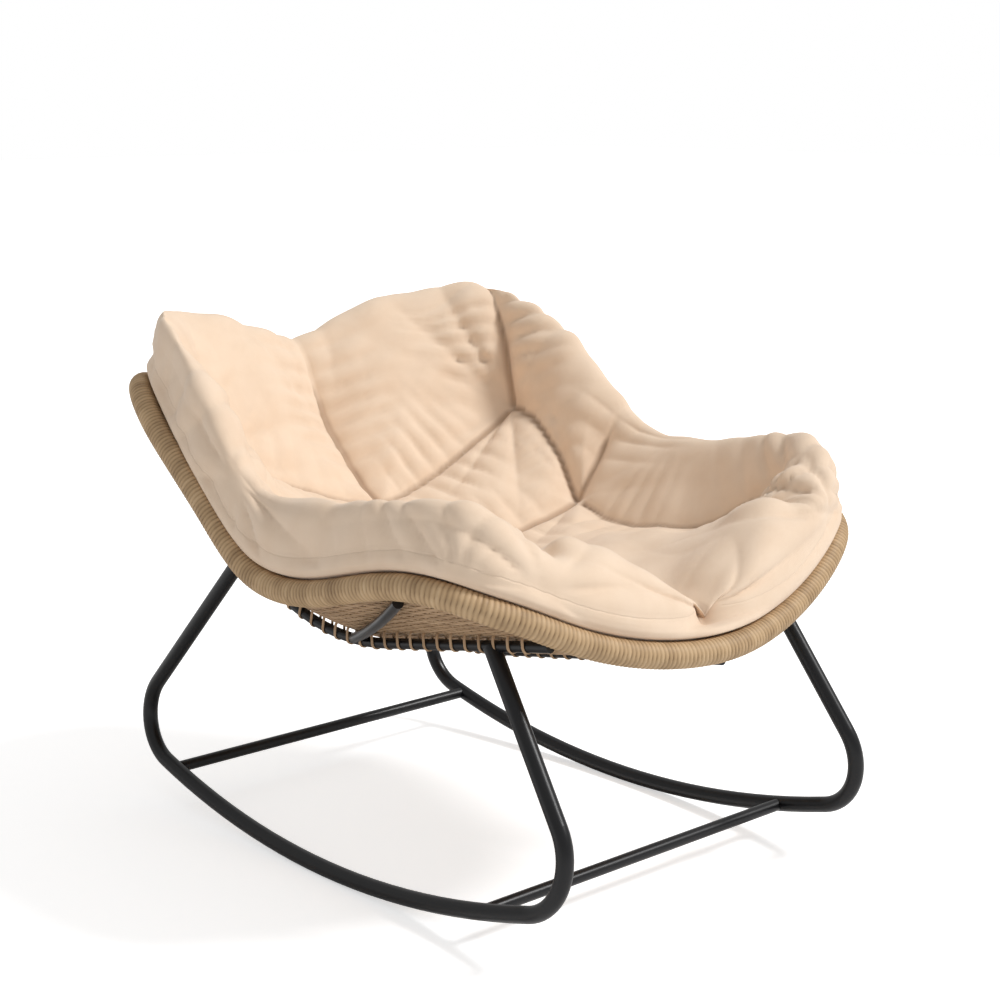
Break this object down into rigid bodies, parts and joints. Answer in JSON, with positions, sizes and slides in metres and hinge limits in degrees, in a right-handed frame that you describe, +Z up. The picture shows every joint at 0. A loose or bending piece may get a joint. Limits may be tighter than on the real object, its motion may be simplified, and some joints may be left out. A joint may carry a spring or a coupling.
{
  "type": "outdoor rocking chair",
  "caption": "Low outdoor rocking chair with a woven bowl seat, a wrapped undulating rim, a thick tufted cushion and bent black tube runners.",
  "frame": {"origin": "on the floor, midway between the points where the two runners touch it", "axes": "+Z up, -Y the way the sitter faces, -X the sitter's right"},
  "size_m": [0.9, 1.0864, 0.8261],
  "materials": {
    "frame_black": "satin black powder coat",
    "rim_straw": "straw-coloured resin wicker, wound round a hoop",
    "weave_straw": "straw-coloured resin wicker, woven",
    "cushion_cream": "soft matt woven polyester"
  },
  "bodies": {
    "root": {"rocker_right": "frame_black", "rocker_left": "frame_black", "front_cross_bar": "frame_black", "rear_cross_bar": "frame_black", "front_saddle_right": "frame_black", "rear_saddle_right": "frame_black", "front_saddle_left": "frame_black", "rear_saddle_left": "frame_black", "rim": "rim_straw", "side_rail_right": "frame_black", "side_rail_left": "frame_black", "middle_rail": "frame_black", "side_brace_right": "frame_black", "side_brace_left": "frame_black", "woven_bowl": "weave_straw", "seat_pad": "cushion_cream"}
  },
  "joints": []
}
